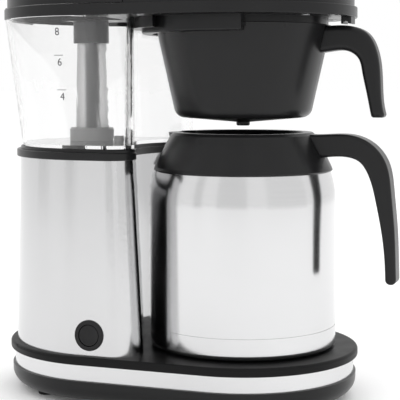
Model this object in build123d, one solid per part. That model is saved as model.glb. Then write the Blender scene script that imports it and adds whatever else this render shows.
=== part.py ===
from build123d import *
import math
import os

# Drip coffee maker: water tower on the left, brew head across the top, thermal carafe on the right.
# Drawn about the middle of the base, X to the right, Y to the back, Z up from the floor, millimetres.
# Each piece is exported about the middle of the whole machine's length (see frame_shift at the end).

# ---- driving dimensions -------------------------------------------------------------------------
# plan
base_spacing = 97.0          # between the centres of the base's two round ends
base_radius = 87.5           # round ends of the base plate
brew_x = 49.5                # axis shared by carafe, filter basket and shower head

# base, from the floor up
foot_height = 4.0
foot_radius = 6.5
foot_x = 88.0
foot_y = 55.0
skirt_height = 15.2
skirt_inset = 1.5
skirt_rounding = 11.0
band_height = 12.0
band_inset = 3.2
band_thickness = 0.8
plate_thickness = 6.3
plate_rounding = 2.2
base_wall = 2.5

# tower
tower_height = 140.9
tower_radius = 82.5          # round end and flat front, at the foot of the tower
tower_corner = 19.0
bay_clearance = 10.2         # between the carafe and the tower's hollow side, at the foot
tower_lean = 3.5             # front, back and round end lean in by this much over the tower's height
bay_lean = 6.5               # the hollow side leans in further
steel_thickness = 0.8
chassis_gap = 0.2            # between the steel and the chassis behind it
chassis_wall = 2.0
seam_y = 57.0
seam_gap = 1.1

# rim between tower and tank
rim_height = 8.2
rim_step = 2.4
rim_proud = 3.0
rim_bay_proud = 2.5

# water tank
tank_height = 95.4
tank_foot_radius = 77.5
tank_foot_corner = 16.0
tank_foot_bay = 85.0
tank_top_radius = 87.6
tank_top_corner = 26.0
tank_top_bay = 84.0
tank_top_shift = 3.0         # the mouth's round end lies further left than the base's
tank_wall = 2.4

# riser in the tank
riser_x = -75.0
riser_foot_radius = 12.6
riser_top_radius = 10.9
riser_wall = 1.4
riser_collar_radius = 17.5
riser_collar_height = 10.4
socket_radius = 14.0
socket_height = 17.0
inner_tube_radius = 5.0

# head
head_left = -51.5            # centre of the left round end
head_right = 46.0            # centre of the right round end
head_radius = 88.3
head_band = 8.1
head_wall = 2.5
head_floor = 2.5
head_ledge = 6.0             # ledge that closes down on the tank's rim
dome_inset = 2.2
dome_height = 17.0
dome_rounding = 9.0
dome_wall = 2.2
dome_split_x = -12.0         # parting between the tank lid and the head's cover
dome_gap = 0.6
lid_slope = 38.0             # the lid's left end leans in by this angle above its grip
lid_slope_foot = 0.4
bridge_width = 34.0          # carries the hot-water duct across the tank's mouth
hinge_y = 58.0
hinge_length = 16.0
hinge_pin_radius = 1.5
hinge_clearance = 0.05
hinge_barrel = 3.2           # round edge of the lid, about the pin
hinge_relief = 4.2           # the cover stands back this far, so that the lid can tip past upright
grip_half_width = 20.0
grip_thickness = 2.3

# shower and rails under the head
collar_radius = 63.5
collar_drop = 5.1
collar_wall = 3.0
shower_radius = 54.0
shower_thickness = 2.0
shower_holes = 12
shower_hole_radius = 1.5
rail_clearance = 2.4         # between the basket's rim and the rail
rail_width = 8.0
rail_reach = 22.5            # how far the rail's arms run past the brew axis
rail_drop = 11.8
rail_groove_depth = 4.2
catch_x = 129.4
catch_length = 7.6
catch_width = 15.0
catch_arch = 1.9

# filter basket
basket_top_radius = 65.6
basket_foot_radius = 50.5
basket_foot_rounding = 8.0
basket_height = 67.7
basket_drop = 4.0            # shallow cone under the basket, down to the nozzle
basket_wall = 2.4
nozzle_radius = 5.1
nozzle_height = 2.7
nozzle_bore = 1.6
flange_height = 2.8          # flange that rides in the rail
basket_arm_height = 18.7
basket_handle_width = 16.0

# carafe
carafe_radius = 69.8
carafe_foot_rounding = 4.0
carafe_cap_height = 16.2
carafe_shell_top = 130.7     # above the carafe's foot
carafe_shoulder = 4.2
carafe_steel = 0.8
groove = 0.5
collar_foot_inset = 2.6      # the collar's foot lies inside the shell's side
collar_top_radius = 53.5
collar_height = 28.8
mouth_radius = 45.5
throat_radius = 37.0
spout_reach = 5.0
vacuum_gap = 6.8             # between the outsides of the shell and the liner
neck_radius = 40.0
carafe_handle_width = 18.0

# controls
button_x = -40.4
button_z = 52.5
bezel_radius = 11.2
bezel_proud = 1.3
barrel_radius = 9.6
button_radius = 7.7
button_travel = 2.5
button_clearance = 0.35

# general clearances
moving_gap = 0.4             # between pieces that move past each other
fit_gap = 0.1                # between pieces that are fixed to each other

# ---- radii that follow the carafe and the basket --------------------------------------------------
bay_radius = carafe_radius + bay_clearance
collar_foot_radius = carafe_radius - collar_foot_inset
liner_radius = carafe_radius - vacuum_gap
rail_inner = basket_top_radius + rail_clearance
rail_radius = rail_inner + rail_width

# ---- levels worked out from the dimensions above --------------------------------------------------
skirt_top = foot_height + skirt_height
plate_foot = skirt_top + band_height
plate_top = plate_foot + plate_thickness
tower_top = plate_top + tower_height
rim_top = tower_top + rim_height
tank_foot = rim_top + fit_gap
tank_floor = tank_foot + tank_wall
tank_top = tank_foot + tank_height
head_foot = tank_top + fit_gap
band_top = head_foot + head_band
dome_top = band_top + dome_height
collar_foot = head_foot - collar_drop
basket_rim = collar_foot - moving_gap
basket_foot = basket_rim - basket_height
nozzle_tip = basket_foot - basket_drop - nozzle_height
carafe_foot = plate_top + moving_gap
front_tilt = math.degrees(math.atan(tower_lean / tower_height))
front_y = -tower_radius + tower_lean * (button_z - plate_top) / tower_height


# ---- helpers ------------------------------------------------------------------------------------
pieces = {}


def keep(name, shape):
    """Adds a finished piece under its name."""
    pieces[name] = shape


def slab(face, low, high):
    """Upright prism of a plan between two heights."""
    return extrude(Plane.XY.offset(low) * face, high - low)


def post(x, y, radius, low, high):
    """Upright round bar."""
    return Pos(x, y, (low + high) / 2) * Cylinder(radius, high - low)


def block(x_range, y_range, z_range):
    """Box between two corners."""
    middle = [(low + high) / 2 for low, high in (x_range, y_range, z_range)]
    sides = [high - low for low, high in (x_range, y_range, z_range)]
    return Pos(*middle) * Box(*sides)


def base_plan(inset):
    """The base's plan, a straight middle with two round ends."""
    return SlotCenterToCenter(base_spacing, 2 * (base_radius - inset))


def head_plan(inset):
    """The head's plan, a little longer to the left than the base."""
    middle = (head_left + head_right) / 2
    return Pos(middle, 0) * SlotCenterToCenter(head_right - head_left, 2 * (head_radius - inset))


def tower_plan(end_radius, corner_radius, side_radius, shift=0.0):
    """Plan of tower and tank: round left end, flat front and back, side hollowed about the brew axis."""
    corner_y = end_radius - corner_radius
    reach = math.sqrt((side_radius + corner_radius) ** 2 - corner_y ** 2)
    corner_x = brew_x - reach
    share = side_radius / (side_radius + corner_radius)
    touch = (brew_x - reach * share, -corner_y * share)
    turn = (math.atan2(corner_y, reach) - math.pi / 2) / 2
    bend = (corner_x + corner_radius * math.cos(turn), -corner_y + corner_radius * math.sin(turn))
    end_x = -base_spacing / 2 - shift
    edges = [
        Line((end_x, -end_radius), (corner_x, -end_radius)),
        ThreePointArc((corner_x, -end_radius), bend, touch),
        ThreePointArc(touch, (brew_x - side_radius, 0), (touch[0], -touch[1])),
        ThreePointArc((touch[0], -touch[1]), (bend[0], -bend[1]), (corner_x, end_radius)),
        Line((corner_x, end_radius), (end_x, end_radius)),
        ThreePointArc((end_x, end_radius), (end_x - end_radius, 0), (end_x, -end_radius)),
    ]
    return make_face(edges)


def leaning(inset):
    """Solid inside the tower's leaning walls, a given distance in from the steel's outer face."""
    foot = tower_plan(tower_radius - inset, tower_corner - inset, bay_radius + inset)
    lean = inset + tower_lean
    top = tower_plan(tower_radius - lean, tower_corner - lean, bay_radius + inset + bay_lean)
    return loft([Plane.XY.offset(plate_top) * foot, Plane.XY.offset(tower_top) * top], ruled=True)


def tank_space(inset, low):
    """Solid inside the tank's flaring walls, a given distance in from their outer face."""
    foot = tower_plan(tank_foot_radius - inset, tank_foot_corner - inset, tank_foot_bay + inset)
    top = tower_plan(tank_top_radius - inset, tank_top_corner - inset, tank_top_bay + inset, tank_top_shift)
    whole = loft([Plane.XY.offset(tank_foot) * foot, Plane.XY.offset(tank_top) * top], ruled=True)
    return whole & block((-200, 200), (-200, 200), (low, tank_top))


def turned(points, x=brew_x):
    """Body of revolution about an upright axis, from its half section (radius, height)."""
    section = Plane.XZ * make_face(Polyline(*points, close=True))
    return Pos(x, 0, 0) * revolve(section, Axis.Z)


def on_front(shape):
    """Places a control drawn about the origin, facing -Y, on the tower's leaning front."""
    return Pos(button_x, front_y, button_z) * Rot(X=-front_tilt) * shape


def cross_slot(x, y, z):
    """Cross recess of a screw head, about a height."""
    return Pos(x, y, z) * (Box(4.4, 0.9, 1.1) + Box(0.9, 4.4, 1.1))


def along_y(radius, low, high):
    """Round bar along Y."""
    return Pos(0, (low + high) / 2, 0) * Rot(X=90) * Cylinder(radius, high - low)


# ---- base ---------------------------------------------------------------------------------------
screw_spots = [(x, y) for x in (-base_spacing / 2, 0, base_spacing / 2) for y in (-62, 62)]
foot_spots = [(x, y) for x in (-foot_x, foot_x) for y in (-foot_y, foot_y)]
screw_radius = 1.5
screw_head_radius = 3.2
screw_head_height = 2.0
boss_radius = 4.5
peg_radius = 2.5

base_pan = slab(base_plan(skirt_inset), foot_height, skirt_top)
base_pan = fillet(base_pan.edges().group_by(Axis.Z)[0], skirt_rounding)
pan_room = slab(base_plan(skirt_inset + base_wall), foot_height + base_wall, skirt_top)
pan_room = fillet(pan_room.edges().group_by(Axis.Z)[0], skirt_rounding - base_wall)
base_pan -= pan_room
seat_top = foot_height + screw_head_height + base_wall
for x, y in screw_spots:
    base_pan += post(x, y, boss_radius, foot_height + 1, seat_top)
for x, y in screw_spots:
    base_pan -= post(x, y, screw_head_radius + 0.2, foot_height - 1, foot_height + screw_head_height + 0.3)
    base_pan -= post(x, y, screw_radius + 0.3, foot_height, seat_top + 1)
for x, y in foot_spots:
    base_pan -= post(x, y, peg_radius + fit_gap, foot_height - 1, foot_height + base_wall + 1)
keep("base_pan", base_pan)

feet = []
for x, y in foot_spots:
    foot = post(x, y, foot_radius, 0, foot_height)
    foot = fillet(foot.edges().group_by(Axis.Z)[0], 0.8)
    feet.append(foot + post(x, y, peg_radius, foot_height - 1, foot_height + base_wall))
keep("rubber_feet", Compound(feet))

band_outer = slab(base_plan(band_inset), skirt_top + fit_gap, plate_foot - fit_gap)
band_inner = slab(base_plan(band_inset + band_thickness), skirt_top, plate_foot)
keep("base_trim_band", band_outer - band_inner)

base_plate = slab(base_plan(0), plate_foot, plate_top)
base_plate = fillet(base_plate.edges().group_by(Axis.Z)[-1], plate_rounding)
base_plate = fillet(base_plate.edges().group_by(Axis.Z)[0], plate_rounding / 2)
upstand_inset = band_inset + band_thickness + fit_gap
upstand = slab(base_plan(upstand_inset), skirt_top + fit_gap, plate_foot)
upstand -= slab(base_plan(upstand_inset + base_wall), skirt_top, plate_foot)
base_plate += upstand
for x, y in screw_spots:
    base_plate += post(x, y, boss_radius - 0.5, seat_top + fit_gap, plate_foot)
    base_plate -= post(x, y, screw_radius + fit_gap / 2, seat_top, plate_foot + 1)
keep("base_plate", base_plate)

screws = []
for x, y in screw_spots:
    head = post(x, y, screw_head_radius, foot_height + 0.3, foot_height + 0.3 + screw_head_height)
    shank = post(x, y, screw_radius, foot_height + screw_head_height, plate_foot - 1)
    screws.append(head - cross_slot(x, y, foot_height + 0.6) + shank)
keep("base_screws", Compound(screws))

# ---- tower --------------------------------------------------------------------------------------
# A steel wrap goes round front, left end and back; a second steel panel closes the hollow side.
# They meet at two upright seams, and a plastic chassis stands behind both.
switch_hole = on_front(along_y(barrel_radius + fit_gap, -10, 12))
inlet_x = -62.0
inlet_z = plate_top + 16.0
inlet_radius = 8.0
cord_radius = 3.6
back_y = tower_radius - tower_lean * (inlet_z - plate_top) / tower_height
inlet_hole = Pos(inlet_x, back_y, inlet_z) * along_y(inlet_radius + fit_gap, -12, 10)

steel = leaning(0) - leaning(steel_thickness)
far = 500.0                  # beyond the machine on every side
side_zone = block((-base_spacing / 2, far), (-seam_y, seam_y), (0, far))
seam_zone = block((-base_spacing / 2, far), (-seam_y - seam_gap, seam_y + seam_gap), (0, far))
wrap = steel - seam_zone - switch_hole - inlet_hole
keep("tower_wrap", wrap)
keep("tower_side_panel", steel & side_zone)

chassis_inset = steel_thickness + chassis_gap
chassis = leaning(chassis_inset) - leaning(chassis_inset + chassis_wall)
chassis -= on_front(along_y(barrel_radius + fit_gap, -10, 12))
chassis -= inlet_hole
keep("tower_chassis", chassis)

rim_bay = bay_radius + bay_lean


def rim_plan(inset, side_radius):
    """Plan of the rim, set in from the tower's foot, with its own hollow side."""
    return tower_plan(tower_radius - inset, tower_corner - inset, side_radius)


rim_outline = rim_plan(tower_lean - rim_proud, rim_bay - rim_bay_proud)
rim_low = slab(rim_outline, tower_top + fit_gap, rim_top - rim_step)
rim_low = fillet(rim_low.edges().group_by(Axis.Z)[-1], 1.2)
rim_low = fillet(rim_low.edges().group_by(Axis.Z)[0], 0.8)
rim_high = slab(rim_plan(tower_lean, tank_foot_bay), rim_top - rim_step - 1.0, rim_top)
rim_high = fillet(rim_high.edges().group_by(Axis.Z)[-1], 1.0)
rim = rim_low + rim_high
rim_wall = 4.0
rim -= slab(rim_plan(tower_lean + rim_wall, rim_bay + rim_wall), tower_top, rim_top - 3.0)
outlet_radius = 9.0
rim -= post(riser_x, 0, outlet_radius + fit_gap, tower_top, rim_top + 1)
inlet_port_x = riser_x + 25.0
inlet_port_radius = 5.0
rim -= post(inlet_port_x, 0, inlet_port_radius + fit_gap, tower_top, rim_top + 1)
keep("tower_rim", rim)

# ---- water tank and riser -----------------------------------------------------------------------
tank = tank_space(0, tank_foot) - tank_space(tank_wall, tank_floor)
tank -= post(riser_x, 0, outlet_radius + fit_gap, tank_foot - 1, tank_floor + 1)
tank -= post(inlet_port_x, 0, inlet_port_radius + fit_gap, tank_foot - 1, tank_floor + 1)
keep("water_tank", tank)

riser_foot = tank_floor + fit_gap
collar_top = riser_foot + riser_collar_height
socket_foot = head_foot - socket_height
riser_top = socket_foot + 6.0
keep("riser_collar", turned([
    (inner_tube_radius + fit_gap, riser_foot), (riser_collar_radius, riser_foot),
    (riser_collar_radius, riser_foot + riser_collar_height - 1.5),
    (riser_collar_radius - 1.5, riser_foot + riser_collar_height),
    (inner_tube_radius + fit_gap, riser_foot + riser_collar_height)], riser_x))
keep("riser_tube", turned([
    (riser_foot_radius - riser_wall, collar_top + fit_gap), (riser_foot_radius, collar_top + fit_gap),
    (riser_top_radius, riser_top), (riser_top_radius - riser_wall, riser_top)], riser_x))
keep("riser_inner_tube", post(riser_x, 0, inner_tube_radius, tower_top - 12, head_foot + 1)
     - post(riser_x, 0, inner_tube_radius - 1.2, tower_top - 20, head_foot + 5))
keep("riser_socket", turned([
    (riser_top_radius + 0.4, socket_foot), (socket_radius, socket_foot),
    (socket_radius, head_foot - fit_gap), (inner_tube_radius + fit_gap, head_foot - fit_gap),
    (inner_tube_radius + fit_gap, riser_top + 1), (riser_top_radius + 0.4, riser_top + 1)], riser_x))
keep("outlet_seal", post(riser_x, 0, outlet_radius, rim_top - 6.0, tank_floor)
     - post(riser_x, 0, inner_tube_radius + fit_gap, rim_top - 10, tank_floor + 1))
keep("tank_strainer", post(inlet_port_x, 0, inlet_port_radius, rim_top - 10.0, tank_floor + 4.0)
     - post(inlet_port_x, 0, inlet_port_radius - 1.2, rim_top - 12.0, tank_floor + 2.5)
     - Pos(inlet_port_x, 0, tank_floor + 1.2) * Box(12, 1.2, 1.6))

# ---- head ---------------------------------------------------------------------------------------
housing = slab(head_plan(0), head_foot, band_top)
housing = fillet(housing.edges().group_by(Axis.Z)[-1], 0.9)
housing = fillet(housing.edges().group_by(Axis.Z)[0], 0.7)
floor_top = head_foot + head_floor
housing -= slab(head_plan(head_wall), floor_top, band_top + 1)
mouth_right = brew_x - tank_top_bay - head_wall - 1.5
mouth = slab(head_plan(head_ledge), head_foot - 1, floor_top + 1)
mouth &= block((-far, mouth_right), (-far, far), (0, far))
bridge_end = riser_x - socket_radius - 3.0
mouth -= block((bridge_end, 0), (-bridge_width / 2, bridge_width / 2), (head_foot - 2, floor_top + 2))
housing -= mouth
housing -= post(riser_x, 0, inner_tube_radius + fit_gap, head_foot - 1, floor_top + 1)
down_collar = post(brew_x, 0, collar_radius, collar_foot, head_foot + 1)
down_collar -= post(brew_x, 0, collar_radius - collar_wall, collar_foot - 1, head_foot + 2)
housing += down_collar
duct_radius = 5.0
housing -= post(brew_x, 0, duct_radius + fit_gap, head_foot - 1, floor_top + 1)
web = post(brew_x, 0, tank_top_bay - 1.2, head_foot - 8.0, head_foot)
web -= post(brew_x, 0, rail_radius + 0.6, head_foot - 9.0, head_foot + 1)
web &= slab(head_plan(8.0), head_foot - 9.0, head_foot)
web &= block((-far, 4.0), (-far, far), (0, far))
housing += web
hinge_x = dome_split_x
hinge_z = dome_top - hinge_barrel
knuckle_low = hinge_y - hinge_length / 4
knuckle_high = hinge_y + hinge_length / 4
for side in (-1, 1):
    span = sorted((side * knuckle_low, side * knuckle_high))
    knuckle = Pos(hinge_x, 0, hinge_z) * along_y(hinge_barrel, *span)
    stem = block((hinge_x - 1.5, hinge_x + hinge_barrel), span, (head_foot + 1, hinge_z))
    bore = Pos(hinge_x, 0, hinge_z) * along_y(hinge_pin_radius, span[0] - 1, span[1] + 1)
    housing += knuckle + stem
    housing -= bore
peg_spots = [(-2.0, -76.0), (-2.0, 76.0), (108.0, -40.0), (108.0, 40.0)]
for x, y in peg_spots:
    housing -= post(x, y, screw_radius + 0.3, head_foot - 1, floor_top + 1)
    housing -= post(x, y, screw_head_radius + 0.2, head_foot - 1, head_foot + 1.2)
shower_screw_spots = [
    (brew_x + 42 * math.cos(math.radians(a)), 42 * math.sin(math.radians(a))) for a in (90, 210, 330)]
for x, y in shower_screw_spots:
    housing -= post(x, y, screw_radius + fit_gap / 2, head_foot - 1, floor_top + 1)
keep("head_housing", housing)

keep("hinge_pins", Compound([
    Pos(hinge_x, 0, hinge_z) * along_y(
        hinge_pin_radius, *sorted((side * (hinge_y - hinge_length / 2), side * (hinge_y + hinge_length / 2))))
    for side in (-1, 1)]))

# The dome over the band is one shape, split across: the left part lifts, the right part is fixed.
dome = slab(head_plan(dome_inset), band_top, dome_top)
dome = fillet(dome.edges().group_by(Axis.Z)[-1], dome_rounding)
dome_room = slab(head_plan(dome_inset + dome_wall), band_top - 1, dome_top - dome_wall)
dome_room = fillet(dome_room.edges().group_by(Axis.Z)[-1], dome_rounding - dome_wall)
shell = dome - dome_room


def sloped_end(inset):
    """What the lid's sloping left end cuts away, a given distance in from its face."""
    foot_x = head_left - head_radius + dome_inset + inset / math.cos(math.radians(lid_slope))
    foot = Pos(foot_x, 0, band_top + lid_slope_foot)
    return foot * Rot(Y=lid_slope) * Pos(-far / 2, 0, 0) * Box(far, far, far)


lid_dome = slab(head_plan(dome_inset), band_top, dome_top) - sloped_end(0)
lid_dome = fillet(lid_dome.edges().group_by(Axis.Z)[-1], dome_rounding)
lid_shell = lid_dome - (dome_room - sloped_end(dome_wall))
barrel_room = Pos(hinge_x, 0, hinge_z) * along_y(hinge_barrel + moving_gap, -far, far)

cover = shell & block((hinge_x + dome_gap, far), (-far, far), (band_top + fit_gap, far))
cover -= barrel_room
cover -= block((hinge_x, hinge_x + hinge_relief), (-far, far), (hinge_z, far))
for x, y in peg_spots:
    cover += post(x, y, 4.0, floor_top + fit_gap, dome_top - dome_wall)
    cover -= post(x, y, screw_radius + fit_gap / 2, floor_top - 1, dome_top - 5)
keep("head_cover", cover)

lid = lid_shell & block((-far, hinge_x), (-far, far), (band_top + moving_gap, far))
lid += dome & Pos(hinge_x, 0, hinge_z) * along_y(hinge_barrel, -far, far)
lip_top = band_top + moving_gap + dome_wall
grip_ring = Pos(head_left, 0) * Circle(head_radius + moving_gap + grip_thickness)
grip_zone = block((-far, head_left), (-grip_half_width, grip_half_width), (0, far))
lip = slab(grip_ring, band_top + moving_gap, lip_top) & grip_zone
lip -= slab(Pos(head_left, 0) * Circle(head_radius - dome_inset - dome_wall / 2), 0, far)
lid += fillet(lip.edges().group_by(Axis.Z)[-1], 0.6)
for side in (-1, 1):
    span = sorted((side * (knuckle_low - moving_gap), side * (knuckle_high + moving_gap)))
    notch_reach = hinge_barrel + moving_gap
    lid -= block((hinge_x - notch_reach, hinge_x + notch_reach + 1), span, (band_top, far))
    lid -= Pos(hinge_x, 0, hinge_z) * along_y(
        hinge_pin_radius + hinge_clearance,
        *sorted((side * (hinge_y - hinge_length / 2 - 0.3), side * (hinge_y + hinge_length / 2 + 0.3))))
keep("tank_lid", lid)

grip = slab(grip_ring, head_foot - 0.8, band_top + moving_gap) & grip_zone
grip -= slab(Pos(head_left, 0) * Circle(head_radius + moving_gap), 0, far)
keep("lid_grip", fillet(grip.edges().group_by(Axis.Z)[0], 0.5))

duct_z = floor_top + duct_radius + 0.6
duct_bend = 9.0
duct_path = FilletPolyline(
    (riser_x, 0, head_foot + 1.5), (riser_x, 0, duct_z + 3), (brew_x, 0, duct_z + 3),
    (brew_x, 0, head_foot), radius=duct_bend / 2)
duct_section = Plane.XY.offset(head_foot + 1.5) * Pos(riser_x, 0) * Circle(duct_radius)
duct_bore = Plane.XY.offset(head_foot + 1.5) * Pos(riser_x, 0) * Circle(duct_radius - 1.4)
duct = sweep(duct_section, path=duct_path) - sweep(duct_bore, path=duct_path)
duct -= post(riser_x, 0, inner_tube_radius + fit_gap / 2, head_foot, head_foot + 1.1)
keep("hot_water_duct", duct)

head_screws = []
for x, y in peg_spots:
    screw_head = post(x, y, screw_head_radius, head_foot - 0.4, head_foot + 1.1)
    screw_head -= cross_slot(x, y, head_foot - 0.2)
    head_screws.append(screw_head + post(x, y, screw_radius, head_foot + 1, dome_top - 6))
keep("head_screws", Compound(head_screws))

# ---- shower and basket rail ----------------------------------------------------------------------
shower_top = head_foot - 1.2
shower_foot = shower_top - shower_thickness
shower = post(brew_x, 0, shower_radius, shower_foot, shower_top)
shower = fillet(shower.edges().group_by(Axis.Z)[0], 0.8)
for ring, count in ((14.0, shower_holes // 2), (28.0, shower_holes), (46.0, 2 * shower_holes)):
    for k in range(count):
        angle = 2 * math.pi * (k + 0.5) / count
        shower -= post(brew_x + ring * math.cos(angle), ring * math.sin(angle),
                       shower_hole_radius, shower_foot - 1, shower_top + 1)
for x, y in shower_screw_spots:
    shower -= post(x, y, screw_radius + 0.2, shower_foot - 1, shower_top + 1)
keep("shower_head", shower)

gasket_outer = shower_radius - 1.0
keep("shower_gasket", post(brew_x, 0, gasket_outer, shower_top, head_foot)
     - post(brew_x, 0, gasket_outer - 3.0, shower_top - 1, head_foot + 1))

shower_screws = []
for x, y in shower_screw_spots:
    screw_head = post(x, y, screw_head_radius, shower_foot - 1.4, shower_foot)
    screw_head = fillet(screw_head.edges().group_by(Axis.Z)[0], 0.6)
    screw_head -= cross_slot(x, y, shower_foot - 1.2)
    shower_screws.append(screw_head + post(x, y, screw_radius, shower_foot - 0.5, floor_top + 2))
keep("shower_screws", Compound(shower_screws))


def rail_plan(radius, reach):
    """Plan of the rail: half round about the brew axis on the left, straight arms to the right."""
    bend = Pos(brew_x, 0) * Circle(radius) & Pos(brew_x - far / 2, 0) * Rectangle(far, far)
    return bend + Pos(brew_x + reach / 2, 0) * Rectangle(reach, 2 * radius)


rail_foot = head_foot - rail_drop
flange_foot = basket_rim - flange_height
rail = slab(rail_plan(rail_radius, rail_reach), rail_foot, head_foot - fit_gap)
rail = fillet(rail.edges().group_by(Axis.Z)[0], 1.6)
rail -= slab(rail_plan(rail_inner, rail_reach + 5), rail_foot - 1, head_foot + 1)
rail -= slab(rail_plan(rail_inner + rail_groove_depth, rail_reach + 5), flange_foot - moving_gap, collar_foot)
keep("basket_rail", rail)

catch_half = catch_length / 2
catch = block((catch_x - catch_half, catch_x + catch_half), (-catch_width / 2, catch_width / 2),
              (collar_foot, head_foot - fit_gap))
catch = fillet(catch.edges().filter_by(Axis.Z), 1.5)
catch -= Pos(catch_x, 0, collar_foot) * along_y(catch_arch, -catch_width, catch_width)
keep("basket_catch", catch)

# ---- filter basket --------------------------------------------------------------------------------
basket = turned([
    (0, basket_foot - basket_drop), (nozzle_radius, basket_foot - basket_drop),
    (basket_foot_radius, basket_foot), (basket_top_radius, basket_rim), (0, basket_rim)])
basket = fillet(basket.edges().filter_by(GeomType.CIRCLE).sort_by(Axis.Z)[1:2], basket_foot_rounding)
wall = basket_wall
basket_room = turned([
    (0, basket_foot - basket_drop + wall), (nozzle_radius, basket_foot - basket_drop + wall),
    (basket_foot_radius - wall, basket_foot + wall), (basket_top_radius - wall, basket_rim + 0.01),
    (0, basket_rim + 0.01)])
basket_room = fillet(
    basket_room.edges().filter_by(GeomType.CIRCLE).sort_by(Axis.Z)[1:2], basket_foot_rounding - wall)
flange = slab(rail_plan(rail_inner + rail_groove_depth - moving_gap, rail_reach - 1), flange_foot, basket_rim)
flange = fillet(flange.edges().group_by(Axis.Z)[0], 0.5)
basket += flange
basket -= basket_room
basket -= post(brew_x, 0, nozzle_bore + 1.2, basket_foot - basket_drop - 1, basket_foot)
keep("basket_body", basket)

nozzle_base = basket_foot - basket_drop
keep("basket_nozzle", turned([
    (nozzle_bore, nozzle_tip), (nozzle_radius - 0.8, nozzle_tip), (nozzle_radius, nozzle_tip + 0.8),
    (nozzle_radius, nozzle_base - fit_gap), (nozzle_bore + 1.1, nozzle_base - fit_gap),
    (nozzle_bore + 1.1, nozzle_base + wall + 1.0), (nozzle_bore, nozzle_base + wall + 1.0)]))


def handle(outer, inner, width, rounding, tip_rounding):
    """Curved grip in the middle plane: outer and inner edge curves from its root to its tip."""
    edges = [
        Spline(*outer),
        Line(outer[-1], inner[-1]),
        Spline(*inner),
        Line(inner[0], outer[0]),
    ]
    side = make_face(edges)
    side = fillet(side.vertices().group_by(Axis.Y)[0], tip_rounding)
    grip = extrude(Plane.XZ * side, width / 2, both=True)
    root_x = outer[0][0]
    rims = [e for e in grip.edges() if abs(e.center().Y) > width / 2 - 0.01 and e.center().X > root_x + 0.01]
    return fillet(rims, rounding)


arm_top = basket_rim - 0.8
arm_foot = arm_top - basket_arm_height
basket_outer = [
    (100.0, arm_top), (118.0, arm_top), (133.0, arm_top - 0.6), (144.4, arm_top - 5.6),
    (151.2, arm_top - 17.0), (154.2, arm_top - 33.0), (158.2, arm_top - 66.8)]
basket_inner = [
    (100.0, arm_foot), (118.0, arm_foot), (131.5, arm_foot - 0.4), (138.2, arm_foot - 5.6),
    (140.8, arm_foot - 14.4), (144.4, arm_foot - 31.0), (148.0, arm_foot - 48.1)]
basket_handle = handle(basket_outer, basket_inner, basket_handle_width, 4.2, 2.2)
bore_room = turned([
    (0, basket_foot - basket_drop - 2), (basket_foot_radius + fit_gap, basket_foot - basket_drop - 2),
    (basket_foot_radius + fit_gap, basket_foot), (basket_top_radius + fit_gap, basket_rim),
    (basket_top_radius + fit_gap, basket_rim + 5), (0, basket_rim + 5)])
keep("basket_handle", basket_handle - bore_room)

# ---- thermal carafe -------------------------------------------------------------------------------
cap_top = carafe_foot + carafe_cap_height
shell_top = carafe_foot + carafe_shell_top
carafe_top = shell_top + collar_height
neck_top = carafe_top - 14.0
steel_in = carafe_steel
cap = turned([(0, carafe_foot), (carafe_radius, carafe_foot), (carafe_radius, cap_top), (0, cap_top)])
cap = fillet(cap.edges().group_by(Axis.Z)[0], carafe_foot_rounding)
cap -= post(brew_x, 0, carafe_radius - steel_in, carafe_foot + steel_in + 3, cap_top + 1)
keep("carafe_base_cap", cap)

shoulder_foot = shell_top - 24.0
shell_outer = turned([(0, cap_top + groove), (carafe_radius, cap_top + groove),
                      (carafe_radius, shoulder_foot), (carafe_radius - 0.9, shoulder_foot + 12.0),
                      (carafe_radius - carafe_shoulder, shell_top), (0, shell_top)])
shell_inner = turned([(0, cap_top - 1), (carafe_radius - steel_in, cap_top - 1),
                      (carafe_radius - steel_in, shoulder_foot),
                      (carafe_radius - steel_in - 0.9, shoulder_foot + 12.0),
                      (carafe_radius - steel_in - carafe_shoulder, shell_top + 0.01), (0, shell_top + 0.01)])
carafe_shell = shell_outer - shell_inner
keep("carafe_shell", carafe_shell)
keep("carafe_groove_ring", post(brew_x, 0, carafe_radius - groove, cap_top + 0.05, cap_top + groove - 0.05)
     - post(brew_x, 0, carafe_radius - steel_in, cap_top - 1, cap_top + 1))

liner_foot = carafe_foot + 7.0
liner_shoulder = shell_top - 22.0
neck_foot = shell_top - 2.0
liner_outer = turned([(0, liner_foot), (liner_radius, liner_foot), (liner_radius, liner_shoulder),
                      (neck_radius, neck_foot), (neck_radius, neck_top), (0, neck_top)])
liner_outer = fillet(liner_outer.edges().group_by(Axis.Z)[0], 10.0)
liner_inner = turned([(0, liner_foot + steel_in), (liner_radius - steel_in, liner_foot + steel_in),
                      (liner_radius - steel_in, liner_shoulder), (neck_radius - steel_in, neck_foot),
                      (neck_radius - steel_in, neck_top + 1), (0, neck_top + 1)])
liner_inner = fillet(liner_inner.edges().group_by(Axis.Z)[0], 9.0)
keep("carafe_liner", liner_outer - liner_inner)

neck_gap = neck_radius + fit_gap
seat = neck_top + 1.2
collar = turned([
    (neck_gap, shell_top + fit_gap), (collar_foot_radius - 0.8, shell_top + fit_gap),
    (collar_foot_radius, shell_top + 1.0), (collar_foot_radius - 0.6, shell_top + 3.0),
    (collar_top_radius + 4.3, carafe_top - 8.0), (collar_top_radius + 1.0, carafe_top - 2.0),
    (collar_top_radius - 1.2, carafe_top), (mouth_radius, carafe_top),
    (throat_radius + 3, seat + 2), (throat_radius, seat), (neck_gap, seat)])
spout_set = 32.0             # the spout's oval sits this far left of the brew axis
spout_half = collar_top_radius + spout_reach - spout_set
spout_wall = 3.5


def spout_oval(height, half_length, half_width):
    """Oval plan of the spout at a height."""
    return Plane.XY.offset(height) * Pos(brew_x - spout_set, 0) * Ellipse(half_length, half_width)


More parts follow.
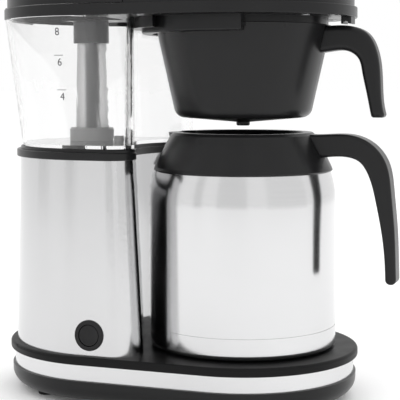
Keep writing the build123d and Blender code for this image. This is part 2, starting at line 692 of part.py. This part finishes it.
spout = loft([spout_oval(carafe_top - 20.0, 22.0, 26.0), spout_oval(carafe_top - 0.6, spout_half, 24.0)])
spout_room = loft([
    spout_oval(carafe_top - 9.0, 8.0, 7.0), spout_oval(carafe_top + 0.4, spout_half - spout_wall, 17.0)])
throat = turned([
    (0, seat - 20), (throat_radius, seat - 20), (throat_radius, seat), (throat_radius + 3, seat + 2),
    (mouth_radius, carafe_top + 0.01), (0, carafe_top + 0.01)])
neck_room = post(brew_x, 0, neck_gap, shell_top - 20, seat)
collar = collar + (spout - throat - neck_room) - spout_room
keep("carafe_collar", collar)
seal = post(brew_x, 0, neck_radius, neck_top, seat)
keep("carafe_seal", seal - post(brew_x, 0, throat_radius, neck_top - 1, seat + 1))

grip_top = carafe_top - 0.6
carafe_outer = [
    (98.0, grip_top), (118.0, grip_top), (136.0, grip_top - 0.8), (150.4, grip_top - 8.0),
    (159.2, grip_top - 20.0), (163.2, grip_top - 40.0), (166.1, grip_top - 72.0), (167.4, grip_top - 108.2)]
carafe_inner = [
    (98.0, grip_top - 16.8), (118.0, grip_top - 16.6), (131.0, grip_top - 16.6), (139.5, grip_top - 19.6),
    (145.6, grip_top - 27.6), (151.8, grip_top - 48.0), (157.2, grip_top - 77.0), (159.3, grip_top - 108.2)]
carafe_handle = handle(carafe_outer, carafe_inner, carafe_handle_width, 2.6, 3.8)
handle_room = turned([
    (0, shell_top - 20), (collar_foot_radius + fit_gap, shell_top - 20),
    (collar_foot_radius + fit_gap, shell_top + 3.0), (collar_top_radius + 4.3 + fit_gap, carafe_top - 8.0),
    (collar_top_radius + 1.0 + fit_gap, carafe_top - 2.0), (collar_top_radius - 1.0, carafe_top + 2),
    (0, carafe_top + 2)])
keep("carafe_handle", carafe_handle - handle_room)

# ---- controls on the tower's front ----------------------------------------------------------------
bezel = along_y(bezel_radius, -bezel_proud, 0)
bezel = fillet(bezel.edges().group_by(Axis.Y)[0], 0.8)
bezel += along_y(barrel_radius, -0.5, 9.0)
bezel -= along_y(button_radius + button_clearance, -5, 20)
keep("switch_bezel", on_front(bezel))

cap_front = -0.9
cap_depth = 4.5
button = along_y(button_radius, cap_front, cap_front + cap_depth)
button = fillet(button.edges().group_by(Axis.Y)[0], 0.6)
button += along_y(2.4, cap_front + cap_depth - 1, cap_front + cap_depth + 3.0)
keep("power_button", on_front(button))

switch_front = cap_front + cap_depth + 3.0 + button_travel + moving_gap
switch_body = Pos(0, switch_front + 7.0, 0) * Box(18, 14, 18)
switch_body += along_y(button_radius, switch_front - 1.0, switch_front + 1)
switch_body -= along_y(3.2, switch_front - 2.0, switch_front)
keep("power_switch", on_front(switch_body))
spring_radius = 4.4
spring_wire = 0.4
spring_foot = switch_front - 1.0
spring_coils = 4
spring_length = spring_foot - (cap_front + cap_depth) - 2 * spring_wire - 0.1
spring_path = Helix(spring_length / spring_coils, spring_length, spring_radius)
spring = sweep(Plane(origin=spring_path @ 0, z_dir=spring_path % 0) * Circle(spring_wire), path=spring_path)
spring = Pos(0, spring_foot - spring_wire - 0.05, 0) * Rot(X=90) * spring
keep("button_spring", on_front(spring))

# ---- inside the tower ------------------------------------------------------------------------------
boiler_x = -82.0
boiler_z = plate_top + 42.0
boiler_ring = 30.0
boiler_tube = 8.5
boiler = Pos(boiler_x, 0, boiler_z) * Rot(Z=45) * Torus(boiler_ring, boiler_tube, major_angle=270)
keep("boiler", boiler)
pad_top = boiler_z - boiler_tube
bracket = block((boiler_x - 22, boiler_x + 22), (22, 26), (plate_top, pad_top))
for x in (boiler_x - 22, boiler_x + 22):
    bracket += block((x - 4, x + 4), (14, 34), (plate_top, plate_top + 1.5))
keep("boiler_bracket", bracket)
keep("thermostat", post(boiler_x - boiler_ring, 0, 8.0, boiler_z + boiler_tube, boiler_z + boiler_tube + 7)
     + Pos(boiler_x - boiler_ring, 0, boiler_z + boiler_tube + 9) * Box(4, 12, 4))
keep("thermal_fuse", Pos(boiler_x, boiler_ring, boiler_z + boiler_tube + 2.0) * Rot(Y=90) * Cylinder(2.0, 14))


def hose(points, radius, wall_thickness, bend=None):
    """Hose along straight runs, joined by arcs where it turns."""
    path = FilletPolyline(*points, radius=bend) if bend else Line(*points)
    plane = Plane(origin=path @ 0, z_dir=path % 0)
    bore = sweep(plane * Circle(radius - wall_thickness), path=path)
    return sweep(plane * Circle(radius), path=path) - bore


hose_radius = 4.5
hose_wall = 1.2
end_x = boiler_x + boiler_ring * math.cos(math.radians(45))
end_y = boiler_ring * math.sin(math.radians(45))
valve_top = rim_top - 34.0
valve_foot = valve_top - 22.0
keep("check_valve", turned([
    (1.6, valve_foot), (4.0, valve_foot), (4.0, valve_foot + 5), (7.0, valve_foot + 6), (7.0, valve_top - 6),
    (4.0, valve_top - 5), (4.0, valve_top), (1.6, valve_top)], inlet_port_x))
keep("cold_hose_upper", hose(
    [(inlet_port_x, 0, rim_top - 10.2), (inlet_port_x, 0, valve_top + 0.2)], hose_radius, hose_wall))
keep("cold_hose_lower", hose(
    [(inlet_port_x, 0, valve_foot - 0.2), (inlet_port_x, 0, boiler_z + 26), (end_x, end_y, boiler_z + 14),
     (end_x, end_y, boiler_z + boiler_tube + 0.3)], hose_radius, hose_wall, 5.0))
keep("hot_hose", hose(
    [(riser_x, 0, tower_top - 12.2), (riser_x, 0, boiler_z + 44), (end_x, -end_y, boiler_z + 26),
     (end_x, -end_y, boiler_z + boiler_tube + 0.3)], hose_radius, hose_wall, 8.0))

board_y = -46.0
board = block((-84, -36), (board_y, board_y + 1.6), (boiler_z + 22, boiler_z + 62))
for x in (-76, -60, -46):
    board += block((x - 4, x + 4), (board_y - 9, board_y), (boiler_z + 36, boiler_z + 48))
keep("control_board", board)

gland = along_y(inlet_radius, -3.5, 1.2)
gland += along_y(inlet_radius + 2.2, 0, 2.0)
gland = fillet(gland.edges().group_by(Axis.Y)[-1], 0.8)
gland -= along_y(cord_radius, -10, 10)
keep("cord_inlet", Pos(inlet_x, back_y, inlet_z) * Rot(X=front_tilt) * gland)

# ---- export ---------------------------------------------------------------------------------------
# The origin moves to the middle of the whole length, at floor level.
whole = [shape.bounding_box() for shape in pieces.values()]
low_x = min(box.min.X for box in whole)
high_x = max(box.max.X for box in whole)
low_y = min(box.min.Y for box in whole)
high_y = max(box.max.Y for box in whole)
frame_shift = Pos(-(low_x + high_x) / 2, -(low_y + high_y) / 2, 0)
os.makedirs("parts", exist_ok=True)
for name, shape in pieces.items():
    export_step(frame_shift * shape, os.path.join("parts", name + ".step"))
print("pieces", len(pieces), "length", round(high_x - low_x, 2), "depth", round(high_y - low_y, 2))
print("shift", round(-(low_x + high_x) / 2, 4), round(-(low_y + high_y) / 2, 4), "top", round(dome_top, 2))
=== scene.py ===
import math

import bpy
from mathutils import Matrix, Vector


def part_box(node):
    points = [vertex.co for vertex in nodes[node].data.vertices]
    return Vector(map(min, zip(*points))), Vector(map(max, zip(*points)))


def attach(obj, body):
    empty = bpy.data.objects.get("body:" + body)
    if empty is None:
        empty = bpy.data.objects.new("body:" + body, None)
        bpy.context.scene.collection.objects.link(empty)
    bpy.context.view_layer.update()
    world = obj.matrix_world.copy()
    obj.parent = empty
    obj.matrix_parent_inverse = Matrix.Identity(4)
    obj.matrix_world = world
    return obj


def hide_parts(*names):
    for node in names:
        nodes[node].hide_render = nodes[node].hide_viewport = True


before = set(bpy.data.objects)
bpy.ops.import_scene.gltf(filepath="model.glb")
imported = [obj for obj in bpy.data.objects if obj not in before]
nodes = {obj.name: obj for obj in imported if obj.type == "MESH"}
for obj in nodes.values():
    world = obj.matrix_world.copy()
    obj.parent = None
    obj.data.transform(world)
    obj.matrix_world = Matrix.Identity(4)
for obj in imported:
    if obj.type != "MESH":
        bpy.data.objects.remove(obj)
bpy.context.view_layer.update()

# ---- Studio ---------------------------------------------------------------------------------------
# The camera stands a little to the right of the machine's front, just below the height of its head.
# A pale floor runs out of sight under an even white sky, with three large soft lamps.
scene = bpy.context.scene
scene.view_settings.view_transform = "Standard"

camera_data = bpy.data.cameras.new("studio_camera")
camera_data.lens = 109.59
camera_data.sensor_width = 36.0
camera_data.shift_y = -0.139
camera_data.clip_end = 100.0
studio_camera = bpy.data.objects.new("studio_camera", camera_data)
scene.collection.objects.link(studio_camera)
studio_camera.location = (0.3155, -0.8733, 0.2338)
studio_camera.rotation_euler = (math.pi / 2 - 0.05, 0.0, math.radians(19.71))
scene.camera = studio_camera

sky = bpy.data.worlds.new("white_sky")
scene.world = sky
sky.use_nodes = True
sky.node_tree.nodes["Background"].inputs["Color"].default_value = (1.0, 1.0, 1.0, 1.0)
sky.node_tree.nodes["Background"].inputs["Strength"].default_value = 1.0

bpy.ops.object.select_all(action="DESELECT")
bpy.ops.mesh.primitive_circle_add(vertices=96, radius=40.0, fill_type="NGON", location=(0, 0, 0))
studio_floor = bpy.context.object
studio_floor.name = "studio_floor"
floor_paint = bpy.data.materials.new("floor_paint")
floor_paint.use_nodes = True
floor_shader = floor_paint.node_tree.nodes["Principled BSDF"]
floor_shader.inputs["Base Color"].default_value = (0.965, 0.965, 0.965, 1.0)
floor_shader.inputs["Emission Color"].default_value = (1.0, 1.0, 1.0, 1.0)
floor_shader.inputs["Emission Strength"].default_value = 0.05
floor_shader.inputs["Roughness"].default_value = 0.6
floor_shader.inputs["Specular IOR Level"].default_value = 0.2
studio_floor.data.materials.append(floor_paint)

lamp_size = 1.6
lamp_target = Vector((0, 0, 0.15))
for lamp_name, place, power in (
    ("key_lamp", (-0.9, -1.3, 1.7), 7.0),
    ("fill_lamp", (1.5, -0.6, 1.5), 5.0),
    ("back_lamp", (0.3, 1.5, 1.5), 8.0),
):
    lamp_data = bpy.data.lights.new(lamp_name, "AREA")
    lamp_data.shape = "SQUARE"
    lamp_data.size = lamp_size
    lamp_data.energy = power
    lamp = bpy.data.objects.new(lamp_name, lamp_data)
    scene.collection.objects.link(lamp)
    lamp.location = place
    lamp.rotation_euler = (lamp_target - Vector(place)).to_track_quat("-Z", "Y").to_euler()
    lamp.visible_camera = False
    lamp.visible_glossy = False

# Tall grey screens stand well away from the machine and show only as soft bands in its steel.
screen_distance = 2.6
screen_height = 6.0
screen_middle_z = 2.0
for screen_name, bearing, width, tone in (
    ("front_screen", 5.0, 1.7, 0.84),
    ("right_screen", 74.0, 2.6, 0.9),
    ("left_screen", -38.0, 0.5, 0.8),
    ("far_left_screen", -75.0, 0.8, 0.86),
):
    away = Vector((math.sin(math.radians(bearing)), -math.cos(math.radians(bearing)), 0.0))
    bpy.ops.object.select_all(action="DESELECT")
    bpy.ops.mesh.primitive_plane_add(
        size=1.0, location=away * screen_distance + Vector((0, 0, screen_middle_z)),
        rotation=(math.pi / 2, 0.0, math.radians(bearing)))
    screen = bpy.context.object
    screen.name = screen_name
    screen.scale = (width, screen_height, 1.0)
    screen_cloth = bpy.data.materials.new(screen_name + "_cloth")
    screen_cloth.use_nodes = True
    cloth_shader = screen_cloth.node_tree.nodes["Principled BSDF"]
    cloth_shader.inputs["Base Color"].default_value = (0.0, 0.0, 0.0, 1.0)
    cloth_shader.inputs["Specular IOR Level"].default_value = 0.0
    cloth_shader.inputs["Emission Color"].default_value = (1.0, 1.0, 1.0, 1.0)
    cloth_shader.inputs["Emission Strength"].default_value = tone
    screen.data.materials.append(screen_cloth)
    screen.visible_camera = False
    screen.visible_diffuse = False
    screen.visible_transmission = False
    screen.visible_shadow = False


# ---- Base ------------------------------------------------------------------------------------------
# A black moulded pan on four rubber feet, a black plate over it, and a brushed steel band between them.
# Six screws from below pull plate and pan together and pinch the band.
def moulded(name, colour, roughness, grain_size, grain_depth, shine=0.25):
    """Moulded plastic or rubber: faint mottling, spark-eroded grain, and handling marks in the gloss."""
    mottling = 0.12
    material = bpy.data.materials.new(name)
    material.use_nodes = True
    tree = material.node_tree
    shader = tree.nodes["Principled BSDF"]
    shader.inputs["Specular IOR Level"].default_value = shine
    place = tree.nodes.new("ShaderNodeTexCoord")
    mottle = tree.nodes.new("ShaderNodeTexNoise")
    mottle.inputs["Scale"].default_value = 60.0
    mottle.inputs["Detail"].default_value = 4.0
    tree.links.new(place.outputs["Object"], mottle.inputs["Vector"])
    tint = tree.nodes.new("ShaderNodeMix")
    tint.data_type = "RGBA"
    tint.inputs["A"].default_value = (*[c * (1 - mottling) for c in colour], 1.0)
    tint.inputs["B"].default_value = (*[c * (1 + mottling) for c in colour], 1.0)
    tree.links.new(mottle.outputs["Fac"], tint.inputs["Factor"])
    tree.links.new(tint.outputs["Result"], shader.inputs["Base Color"])
    polish = tree.nodes.new("ShaderNodeMapRange")
    polish.inputs["To Min"].default_value = roughness * 0.8
    polish.inputs["To Max"].default_value = roughness * 1.2
    tree.links.new(mottle.outputs["Fac"], polish.inputs["Value"])
    tree.links.new(polish.outputs["Result"], shader.inputs["Roughness"])
    grain = tree.nodes.new("ShaderNodeTexNoise")
    grain.inputs["Scale"].default_value = 1.0 / grain_size
    grain.inputs["Detail"].default_value = 2.0
    tree.links.new(place.outputs["Object"], grain.inputs["Vector"])
    bump = tree.nodes.new("ShaderNodeBump")
    bump.inputs["Strength"].default_value = 0.4
    bump.inputs["Distance"].default_value = grain_depth
    tree.links.new(grain.outputs["Fac"], bump.inputs["Height"])
    tree.links.new(bump.outputs["Normal"], shader.inputs["Normal"])
    return material


def brushed(name, colour, roughness, stretch, depth=0.00002):
    """Steel with fine parallel brushing and smudges.

    stretch holds how often the lines repeat along X, Y and Z."""
    mottling = 0.04
    material = bpy.data.materials.new(name)
    material.use_nodes = True
    tree = material.node_tree
    shader = tree.nodes["Principled BSDF"]
    shader.inputs["Metallic"].default_value = 1.0
    place = tree.nodes.new("ShaderNodeTexCoord")
    spread = tree.nodes.new("ShaderNodeMapping")
    spread.inputs["Scale"].default_value = stretch
    tree.links.new(place.outputs["Object"], spread.inputs["Vector"])
    lines = tree.nodes.new("ShaderNodeTexNoise")
    lines.inputs["Scale"].default_value = 1.0
    lines.inputs["Detail"].default_value = 5.0
    tree.links.new(spread.outputs["Vector"], lines.inputs["Vector"])
    smudge = tree.nodes.new("ShaderNodeTexNoise")
    smudge.inputs["Scale"].default_value = 22.0
    smudge.inputs["Detail"].default_value = 3.0
    tree.links.new(place.outputs["Object"], smudge.inputs["Vector"])
    tint = tree.nodes.new("ShaderNodeMix")
    tint.data_type = "RGBA"
    tint.inputs["A"].default_value = (*[c * (1 - mottling) for c in colour], 1.0)
    tint.inputs["B"].default_value = (*[c * (1 + mottling) for c in colour], 1.0)
    tree.links.new(lines.outputs["Fac"], tint.inputs["Factor"])
    tree.links.new(tint.outputs["Result"], shader.inputs["Base Color"])
    both = tree.nodes.new("ShaderNodeMath")
    both.operation = "MULTIPLY_ADD"
    both.inputs[1].default_value = 0.6
    tree.links.new(lines.outputs["Fac"], both.inputs[0])
    tree.links.new(smudge.outputs["Fac"], both.inputs[2])
    polish = tree.nodes.new("ShaderNodeMapRange")
    polish.inputs["From Min"].default_value = 0.4
    polish.inputs["From Max"].default_value = 1.2
    polish.inputs["To Min"].default_value = roughness * 0.75
    polish.inputs["To Max"].default_value = roughness * 1.3
    tree.links.new(both.outputs["Value"], polish.inputs["Value"])
    tree.links.new(polish.outputs["Result"], shader.inputs["Roughness"])
    bump = tree.nodes.new("ShaderNodeBump")
    bump.inputs["Strength"].default_value = 0.3
    bump.inputs["Distance"].default_value = depth
    tree.links.new(lines.outputs["Fac"], bump.inputs["Height"])
    tree.links.new(bump.outputs["Normal"], shader.inputs["Normal"])
    return material


def finish_nodes(material, *names):
    """Gives CAD nodes one material all over."""
    for name in names:
        nodes[name].data.materials.clear()
        nodes[name].data.materials.append(material)


black_satin = moulded("black_satin_plastic", (0.0095, 0.0095, 0.010), 0.3, 0.0006, 0.00004)
foot_rubber = moulded("foot_rubber", (0.012, 0.012, 0.012), 0.75, 0.0004, 0.00006)
screw_steel = brushed("zinc_screw_steel", (0.55, 0.55, 0.56), 0.35, (900.0, 40.0, 900.0))
band_steel = brushed("band_steel", (0.71, 0.71, 0.715), 0.22, (25.0, 25.0, 2600.0))
finish_nodes(black_satin, "base_pan")
plate_plastic = moulded("base_plate_plastic", (0.006, 0.006, 0.0063), 0.42, 0.0007, 0.00004, 0.14)
finish_nodes(plate_plastic, "base_plate")
finish_nodes(foot_rubber, "rubber_feet")
finish_nodes(band_steel, "base_trim_band")
finish_nodes(screw_steel, "base_screws")

# ---- Tower -----------------------------------------------------------------------------------------
# One brushed steel sheet wraps the front, the round left end and the back; a polished panel closes the
# hollow side. Both are pressed over a black moulded chassis, and a black rim caps them.
wrap_steel = brushed("wrap_steel", (0.62, 0.62, 0.625), 0.17, (1500.0, 1500.0, 12.0))
panel_steel = brushed("panel_steel", (0.5, 0.5, 0.505), 0.07, (900.0, 900.0, 6.0), 0.00001)
finish_nodes(wrap_steel, "tower_wrap")
finish_nodes(panel_steel, "tower_side_panel")
finish_nodes(black_satin, "tower_chassis", "tower_rim")

# ---- Controls --------------------------------------------------------------------------------------
# A round black push button in a raised ring, snapped into the front of the tower. Its cap is dished for the
# fingertip and rounded at the rim, and slides in the ring against a coil spring.
finish_nodes(black_satin, "switch_bezel")
cap_low, cap_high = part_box("power_button")
cap_middle = (cap_low + cap_high) / 2
cap_radius = (cap_high.x - cap_low.x) / 2
tower_lean, tower_height = 3.5, 140.9
wall_tilt = math.atan(tower_lean / tower_height)
cap_normal = Vector((0.0, -math.cos(wall_tilt), math.sin(wall_tilt)))
cap_depth = 0.0045
cap_proud = 0.0016
bpy.ops.object.select_all(action="DESELECT")
bpy.ops.mesh.primitive_cylinder_add(
    vertices=64, radius=cap_radius, depth=cap_depth, location=cap_middle + cap_normal * cap_proud,
    rotation=(math.pi / 2 - wall_tilt, 0.0, 0.0))
power_cap = bpy.context.object
power_cap.name = "power_cap"
bpy.ops.object.transform_apply(location=True, rotation=True, scale=True)


def pick_faces(piece, wanted):
    """Enters edit mode with just the wanted faces of a piece selected."""
    bpy.ops.object.mode_set(mode="EDIT")
    bpy.ops.mesh.select_mode(type="FACE")
    bpy.ops.mesh.select_all(action="DESELECT")
    bpy.ops.object.mode_set(mode="OBJECT")
    for face in piece.data.polygons:
        face.select = wanted(face)
    bpy.ops.object.mode_set(mode="EDIT")


pick_faces(power_cap, lambda face: face.normal.dot(cap_normal) > 0.9)
bpy.ops.mesh.inset(thickness=0.0007, depth=0.0)
for ring_step, ring_depth in ((0.0012, -0.00035), (0.0018, -0.0003), (0.002, -0.0001)):
    bpy.ops.mesh.inset(thickness=ring_step, depth=ring_depth)
bpy.ops.object.mode_set(mode="OBJECT")
rounding = power_cap.modifiers.new("rounding", "BEVEL")
rounding.width = 0.0005
rounding.segments = 3
rounding.limit_method = "ANGLE"
rounding.angle_limit = math.radians(40)
bpy.ops.object.modifier_apply(modifier="rounding")
bpy.ops.object.shade_smooth_by_angle(angle=math.radians(35))
power_cap.data.materials.append(black_satin)
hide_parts("power_button")
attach(power_cap, "power_button")
finish_nodes(black_satin, "power_switch")
spring_steel = brushed("spring_steel", (0.6, 0.6, 0.61), 0.25, (400.0, 400.0, 400.0))
finish_nodes(spring_steel, "button_spring")


# ---- Water tank ------------------------------------------------------------------------------------
# A clear moulded tank with a round left end, open at the top, sitting on the rim. A frosted riser stands
# in it, with a grey socket at its top and a collar at its foot.
def clear(name, colour, roughness):
    """Clear or frosted moulded plastic, with slow ripples left by the mould."""
    material = bpy.data.materials.new(name)
    material.use_nodes = True
    tree = material.node_tree
    shader = tree.nodes["Principled BSDF"]
    shader.inputs["Transmission Weight"].default_value = 1.0
    shader.inputs["IOR"].default_value = 1.49
    shader.inputs["Base Color"].default_value = (*colour, 1.0)
    place = tree.nodes.new("ShaderNodeTexCoord")
    ripple = tree.nodes.new("ShaderNodeTexNoise")
    ripple.inputs["Scale"].default_value = 50.0
    ripple.inputs["Detail"].default_value = 1.0
    tree.links.new(place.outputs["Object"], ripple.inputs["Vector"])
    polish = tree.nodes.new("ShaderNodeMapRange")
    polish.inputs["To Min"].default_value = roughness * 0.6
    polish.inputs["To Max"].default_value = roughness * 1.4
    tree.links.new(ripple.outputs["Fac"], polish.inputs["Value"])
    tree.links.new(polish.outputs["Result"], shader.inputs["Roughness"])
    bump = tree.nodes.new("ShaderNodeBump")
    bump.inputs["Strength"].default_value = 0.02
    bump.inputs["Distance"].default_value = 0.00002
    tree.links.new(ripple.outputs["Fac"], bump.inputs["Height"])
    tree.links.new(bump.outputs["Normal"], shader.inputs["Normal"])
    return material


tank_plastic = clear("tank_clear_plastic", (0.985, 0.985, 0.985), 0.015)
finish_nodes(tank_plastic, "water_tank")
tube_plastic = clear("riser_frosted_plastic", (0.88, 0.88, 0.88), 0.35)
finish_nodes(tube_plastic, "riser_tube")
socket_plastic = moulded("socket_grey_plastic", (0.09, 0.09, 0.092), 0.3, 0.0008, 0.00003)
collar_plastic = moulded("collar_grey_plastic", (0.48, 0.48, 0.48), 0.3, 0.0008, 0.00003)
inner_plastic = moulded("inner_tube_plastic", (0.26, 0.26, 0.265), 0.35, 0.0008, 0.00003)
finish_nodes(socket_plastic, "riser_socket")
finish_nodes(collar_plastic, "riser_collar", "tank_strainer")
finish_nodes(inner_plastic, "riser_inner_tube")
silicone = moulded("silicone_rubber", (0.45, 0.45, 0.44), 0.5, 0.0006, 0.00004)
finish_nodes(silicone, "outlet_seal", "shower_gasket", "carafe_seal")

# ---- Scale on the tank -------------------------------------------------------------------------------
# Cup marks printed in grey on the outside of the tank's front wall: a number, and a short line above it.
tank_low, tank_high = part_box("water_tank")
wall_foot_radius = 0.0776
wall_flare = 0.0101
mouth_radius = 0.0876
tank_rise = tank_high.z - tank_low.z
tank_lean = math.atan(wall_flare / tank_rise)
scale_ink = moulded("scale_ink", (0.09, 0.09, 0.095), 0.5, 0.0003, 0.00002)
digit_size = 0.0078
digit_drop = 0.0012
line_length = 0.0074
line_shift = 0.0006
line_width = 0.0004
mark_thickness = 0.00008
round_centre_x = tank_low.x + mouth_radius
scale_parts = []
for number, mark_z, mark_x in (("8", 0.2757, -0.0752), ("6", 0.2540, -0.0743), ("4", 0.2292, -0.0734)):
    wall_radius = wall_foot_radius + wall_flare * (mark_z - tank_low.z) / tank_rise
    turn = math.asin((mark_x - round_centre_x) / wall_radius)
    mark_y = -wall_radius * math.cos(turn) - mark_thickness
    face_turn = (math.pi / 2 + tank_lean, 0.0, turn)
    bpy.ops.object.select_all(action="DESELECT")
    bpy.ops.object.text_add(location=(mark_x, mark_y, mark_z - digit_drop), rotation=face_turn)
    digit = bpy.context.object
    digit.data.body = number
    digit.data.size = digit_size
    digit.data.align_x = "CENTER"
    digit.data.align_y = "TOP"
    digit.data.extrude = mark_thickness
    bpy.ops.object.convert(target="MESH")
    bpy.ops.object.transform_apply(location=True, rotation=True, scale=True)
    scale_parts.append(digit)
    bpy.ops.object.select_all(action="DESELECT")
    bpy.ops.mesh.primitive_cube_add(
        size=1.0, location=(mark_x - line_shift, mark_y, mark_z), rotation=face_turn)
    line = bpy.context.object
    line.scale = (line_length, line_width, 2 * mark_thickness)
    bpy.ops.object.transform_apply(location=True, rotation=True, scale=True)
    scale_parts.append(line)
bpy.ops.object.select_all(action="DESELECT")
for part in scale_parts:
    part.select_set(True)
bpy.context.view_layer.objects.active = scale_parts[0]
bpy.ops.object.join()
tank_scale = bpy.context.object
tank_scale.name = "tank_scale"
tank_scale.data.materials.clear()
tank_scale.data.materials.append(scale_ink)
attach(tank_scale, "machine")

# ---- Head ------------------------------------------------------------------------------------------
# A wide black band moulded in one with the floor of the head, a domed cover over the brew side, and a lid
# over the tank that tips up on two pins. All three are satin black plastic with a fine grain.
finish_nodes(black_satin, "head_housing", "head_cover", "tank_lid")

# The lid's finger grip hangs over the left end of the band, its face cut into small raised squares so that
# it doesn't slip. It is moulded with the lid, and lifts with it.
grip_low, grip_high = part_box("lid_grip")
band_radius = 0.0883
grip_gap = 0.0004
grip_depth = 0.0023
grip_radius = band_radius + grip_gap + grip_depth
grip_centre_x = grip_low.x + grip_radius
pad_columns = 22
pad_rows = 5
pad_set = 0.0006
bpy.ops.object.select_all(action="DESELECT")
bpy.ops.mesh.primitive_grid_add(
    x_subdivisions=pad_columns, y_subdivisions=pad_rows, size=1.0,
    location=(grip_low.x + pad_set, 0.0, (grip_low.z + grip_high.z) / 2),
    rotation=(math.pi / 2, 0.0, -math.pi / 2))
lid_grip_pad = bpy.context.object
lid_grip_pad.name = "lid_grip_pad"
lid_grip_pad.scale = (grip_high.y - grip_low.y, grip_high.z - grip_low.z, 1.0)
bpy.ops.object.transform_apply(location=True, rotation=True, scale=True)
pick_faces(lid_grip_pad, lambda face: True)
bpy.ops.mesh.inset(thickness=0.0003, depth=0.0, use_individual=True)
bpy.ops.mesh.inset(thickness=0.0002, depth=0.0005, use_individual=True)
bpy.ops.object.mode_set(mode="OBJECT")
for vertex in lid_grip_pad.data.vertices:
    lift = vertex.co.x - grip_low.x
    vertex.co.x = grip_centre_x - math.sqrt(grip_radius ** 2 - vertex.co.y ** 2) + lift
backing = lid_grip_pad.modifiers.new("backing", "SOLIDIFY")
backing.thickness = 0.0016
backing.offset = -1.0
bpy.ops.object.modifier_apply(modifier="backing")
bpy.ops.object.shade_smooth_by_angle(angle=math.radians(30))
lid_grip_pad.data.materials.append(black_satin)
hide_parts("lid_grip")
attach(lid_grip_pad, "tank_lid")
finish_nodes(silicone, "hot_water_duct")
finish_nodes(screw_steel, "hinge_pins", "head_screws", "shower_screws")
shower_steel = brushed("shower_steel", (0.68, 0.68, 0.68), 0.28, (60.0, 60.0, 900.0))
finish_nodes(shower_steel, "shower_head")
finish_nodes(black_satin, "basket_rail", "basket_catch")

# ---- Filter basket -----------------------------------------------------------------------------------
# A deep black cone, moulded in one with its flange and closed by a shallow foot with a drip nozzle. The
# hooked handle is a second moulding at its right side. The flange hangs in the rail under the head.
finish_nodes(black_satin, "basket_body", "basket_nozzle", "basket_handle")

# ---- Carafe ------------------------------------------------------------------------------------------
# A double-walled flask of brushed stainless steel with a separate foot cap below a fine groove, and a steel
# liner inside. The black collar with its spout and the curved handle are separate moulded plastic pieces.
carafe_steel = brushed("carafe_steel", (0.69, 0.69, 0.695), 0.16, (14.0, 14.0, 2200.0), 0.00001)
liner_steel = brushed("liner_steel", (0.62, 0.62, 0.62), 0.3, (14.0, 14.0, 1500.0))
finish_nodes(carafe_steel, "carafe_base_cap", "carafe_groove_ring")

# The outer wall is drawn steel, straight to the shoulder and then curving in under the collar. It is turned
# from one sheet, so the shoulder has no crease.
shell_low, shell_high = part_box("carafe_shell")
shell_axis_x = (shell_low.x + shell_high.x) / 2
shell_radius = (shell_high.x - shell_low.x) / 2
shoulder_height = 0.024
shoulder_set = 0.0042
shoulder_radius = (shoulder_height ** 2 + shoulder_set ** 2) / (2 * shoulder_set)
shoulder_steps = 14
straight_steps = 6
steel_thickness = 0.0008
bpy.ops.object.select_all(action="DESELECT")
bpy.ops.mesh.primitive_circle_add(
    vertices=160, radius=shell_radius, location=(shell_axis_x, 0.0, shell_low.z))
carafe_wall = bpy.context.object
carafe_wall.name = "carafe_wall"
bpy.ops.object.transform_apply(location=True, rotation=True, scale=True)
bpy.ops.object.mode_set(mode="EDIT")
bpy.ops.mesh.select_all(action="SELECT")
ring_heights = [
    shell_low.z + (shell_high.z - shoulder_height - shell_low.z) * (k + 1) / straight_steps
    for k in range(straight_steps)]
ring_radii = [shell_radius] * straight_steps
for k in range(shoulder_steps):
    rise = shoulder_height * (k + 1) / shoulder_steps
    ring_heights.append(shell_high.z - shoulder_height + rise)
    ring_radii.append(shell_radius - shoulder_radius + math.sqrt(shoulder_radius ** 2 - rise ** 2))
last_height, last_radius = shell_low.z, shell_radius
for ring_height, ring_radius in zip(ring_heights, ring_radii):
    bpy.ops.mesh.extrude_edges_move(TRANSFORM_OT_translate={"value": (0, 0, ring_height - last_height)})
    share = ring_radius / last_radius
    bpy.ops.transform.resize(value=(share, share, 1.0), center_override=(shell_axis_x, 0.0, ring_height))
    last_height, last_radius = ring_height, ring_radius
bpy.ops.mesh.select_all(action="SELECT")
bpy.ops.mesh.normals_make_consistent(inside=False)
bpy.ops.object.mode_set(mode="OBJECT")
sheet_wall = carafe_wall.modifiers.new("sheet_wall", "SOLIDIFY")
sheet_wall.thickness = steel_thickness
sheet_wall.offset = -1.0
bpy.ops.object.modifier_apply(modifier="sheet_wall")
bpy.ops.object.shade_smooth_by_angle(angle=math.radians(30))
carafe_wall.data.materials.append(carafe_steel)
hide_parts("carafe_shell")
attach(carafe_wall, "carafe")
finish_nodes(liner_steel, "carafe_liner")
finish_nodes(black_satin, "carafe_collar", "carafe_handle")

# ---- Inside the tower ----------------------------------------------------------------------------------
# A cast aluminium heater on a zinc-plated bracket with its thermostat and fuse, silicone hoses, a check valve
# and a small green control board. None of it shows from outside.
cast_aluminium = brushed("cast_aluminium", (0.6, 0.6, 0.6), 0.5, (300.0, 300.0, 300.0), 0.0001)
finish_nodes(cast_aluminium, "boiler")
finish_nodes(screw_steel, "boiler_bracket", "thermostat")
fuse_sleeve = moulded("fuse_sleeve", (0.7, 0.68, 0.6), 0.5, 0.0005, 0.00005)
finish_nodes(fuse_sleeve, "thermal_fuse")
finish_nodes(collar_plastic, "check_valve")
finish_nodes(silicone, "cold_hose_upper", "cold_hose_lower", "hot_hose")
board_green = moulded("board_green", (0.02, 0.12, 0.05), 0.4, 0.0006, 0.00003)
finish_nodes(board_green, "control_board")
finish_nodes(foot_rubber, "cord_inlet")
